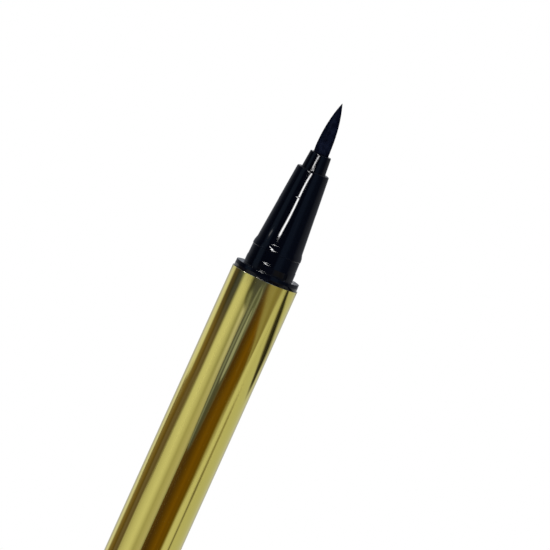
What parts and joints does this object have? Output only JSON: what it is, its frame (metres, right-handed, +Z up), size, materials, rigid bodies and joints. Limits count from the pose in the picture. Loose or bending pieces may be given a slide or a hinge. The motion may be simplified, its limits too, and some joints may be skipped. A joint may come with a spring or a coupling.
{
  "type": "liquid eyeliner pen",
  "caption": "Slim brush-tip liquid eyeliner pen with a mirror-gold barrel, a glossy black grip, and its sprung-lined gold cap pushed onto the tail.",
  "frame": {"origin": "centre of the flat closed end of the cap, on which the pen stands", "axes": "+Z up along the pen to its brush; -Y is the side that faces the viewer of the picture"},
  "size_m": [0.0106, 0.0106, 0.159],
  "materials": {
    "gold_sleeve": "mirror-bright gold anodising",
    "black_gloss": "glossy moulded black",
    "black_lining": "satin moulded black",
    "tank_plastic": "milky moulded",
    "collector_plastic": "smooth moulded",
    "holder_plastic": "smooth moulded black",
    "inner_plastic": "white moulded",
    "seal_rubber": "moulded rubber",
    "soft_seal": "soft grey rubber",
    "feed_felt": "ink-soaked bonded felt",
    "brush_fibre": "fine tapered filaments, wet with ink",
    "ball_steel": "polished steel",
    "spring_steel": "drawn wire"
  },
  "bodies": {
    "pen": {"barrel_sleeve": "gold_sleeve", "tail_plug": "black_gloss", "ink_tank": "tank_plastic", "tank_plug": "tank_plastic", "collector": "collector_plastic", "collector_seal": "seal_rubber", "feed_rod": "feed_felt", "front_section": "black_gloss", "brush_ferrule": "black_gloss", "brush_holder": "holder_plastic", "brush": "brush_fibre"},
    "mixing_ball": {"mixing_ball": "ball_steel"},
    "cap": {"cap_sleeve": "gold_sleeve", "cap_liner": "black_lining", "spring_seat": "inner_plastic", "inner_cap_spring": "spring_steel"},
    "inner_cup": {"inner_cap": "inner_plastic", "inner_cap_seal": "soft_seal"}
  },
  "joints": [
    {"name": "cap_pull", "type": "slide", "parent": "pen", "child": "cap", "axis": [0, 0, -1], "range_m": [0, 0.02]},
    {"name": "inner_cap_push", "type": "slide", "parent": "cap", "child": "inner_cup", "axis": [0, 0, -1], "range_m": [0, 0.0015], "stiffness_N_per_m": 400, "springref_m": -0.0025, "deforming": ["inner_cap_spring"]},
    {"name": "ball_travel", "type": "slide", "parent": "pen", "child": "mixing_ball", "axis": [0, 0, 1], "range_m": [0, 0.0418]}
  ]
}
